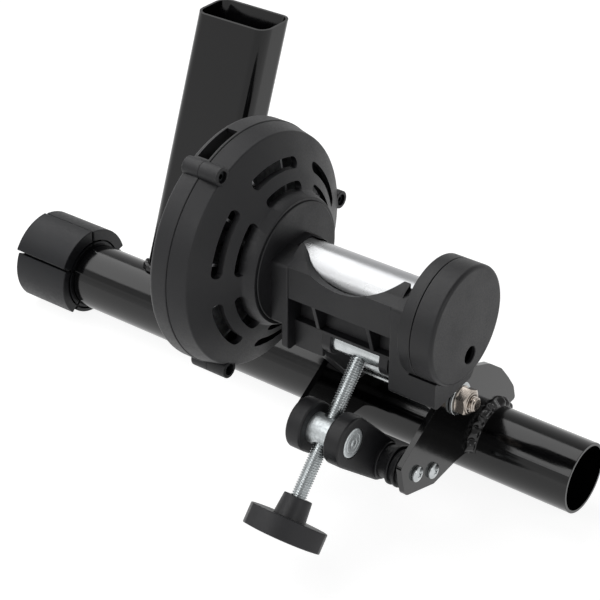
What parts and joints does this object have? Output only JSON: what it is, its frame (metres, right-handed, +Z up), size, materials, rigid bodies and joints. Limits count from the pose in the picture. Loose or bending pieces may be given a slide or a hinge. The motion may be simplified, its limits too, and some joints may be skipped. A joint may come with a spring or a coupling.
{
  "type": "bicycle trainer resistance unit on crossbar",
  "caption": "Roller resistance unit of an indoor bicycle trainer, tilted by a knob screw on a bracket welded to the frame's crossbar, with its levelling foot and upright stub.",
  "frame": {"origin": "on the crossbar's axis, in the plane of the middle of the roller's length", "axes": "+X along the crossbar away from the levelling foot, +Y horizontal towards the wheel that runs on the roller, +Z up"},
  "size_m": [0.3717, 0.2245, 0.1909],
  "materials": {
    "gloss_black_steel": "gloss powder coat",
    "painted_weld": "gloss powder coat over a weld bead",
    "moulded_black": "fine-grained moulding",
    "foot_plastic": "satin moulding",
    "yellow_zinc": "warm zinc plate",
    "bright_zinc": "bright zinc plate",
    "dark_steel": "black oxide",
    "polished_aluminium": "polished, turned",
    "cast_aluminium": "as cast",
    "ground_steel": "ground",
    "brass_nut": "plain"
  },
  "bodies": {
    "base": {"crossbar": "gloss_black_steel", "upright": "gloss_black_steel", "upright_weld": "painted_weld", "bracket_plate_right": "gloss_black_steel", "bracket_plate_left": "gloss_black_steel", "bracket_welds": "painted_weld", "pivot_bolt": "yellow_zinc", "pivot_nut": "yellow_zinc", "pivot_washers": "yellow_zinc", "pivot_sleeve": "bright_zinc", "screw_fork": "moulded_black", "fork_screws": "bright_zinc"},
    "foot": {"foot_cap": "foot_plastic"},
    "nut_pin": {"threaded_cross_pin": "bright_zinc"},
    "unit": {"yoke": "moulded_black", "bearing_left": "ground_steel", "bearing_right": "ground_steel", "housing_front": "moulded_black", "housing_back": "moulded_black", "housing_screws": "dark_steel", "hub_screws": "dark_steel", "end_cap": "moulded_black", "cap_screws": "dark_steel"},
    "rotor": {"roller": "polished_aluminium", "shaft": "ground_steel", "fan_wheel": "cast_aluminium", "fan_nut": "brass_nut", "flywheel": "ground_steel", "flywheel_nut": "yellow_zinc"},
    "pin": {"upper_cross_pin": "bright_zinc"},
    "screw": {"adjusting_screw": "bright_zinc", "knob": "moulded_black", "screw_clip": "dark_steel"}
  },
  "joints": [
    {"name": "foot_turn", "type": "hinge", "parent": "base", "child": "foot", "pos_m": [-0.2546, 0, 0], "axis": [1, 0, 0], "continuous": true},
    {"name": "unit_tilt", "type": "hinge", "parent": "base", "child": "unit", "pos_m": [0.0064, -0.0316, 0.0427], "axis": [1, 0, 0], "range_deg": [-10, 6]},
    {"name": "roller_spin", "type": "hinge", "parent": "unit", "child": "rotor", "pos_m": [0, -0.057, 0.10385], "axis": [1, 0, 0], "continuous": true},
    {"name": "upper_pin_turn", "type": "hinge", "parent": "unit", "child": "pin", "pos_m": [0.0064, -0.06486, 0.07528], "axis": [1, 0, 0], "range_deg": [-5.6, 9.3]},
    {"name": "screw_spin", "type": "hinge", "parent": "pin", "child": "screw", "pos_m": [0.0064, -0.06486, 0.07528], "axis": [0, 0.6645, 0.7473], "range_deg": [-1390, 2320]},
    {"name": "nut_pin_turn", "type": "hinge", "parent": "base", "child": "nut_pin", "pos_m": [0.0064, -0.0941, 0.0424], "axis": [1, 0, 0], "range_deg": [-0.9, 0.6]}
  ],
  "couplings": [
    {"joint": "unit_tilt", "follows": "screw_spin", "ratio": -0.0043},
    {"joint": "upper_pin_turn", "follows": "screw_spin", "ratio": 0.0039474},
    {"joint": "nut_pin_turn", "follows": "screw_spin", "ratio": -0.0003526}
  ]
}
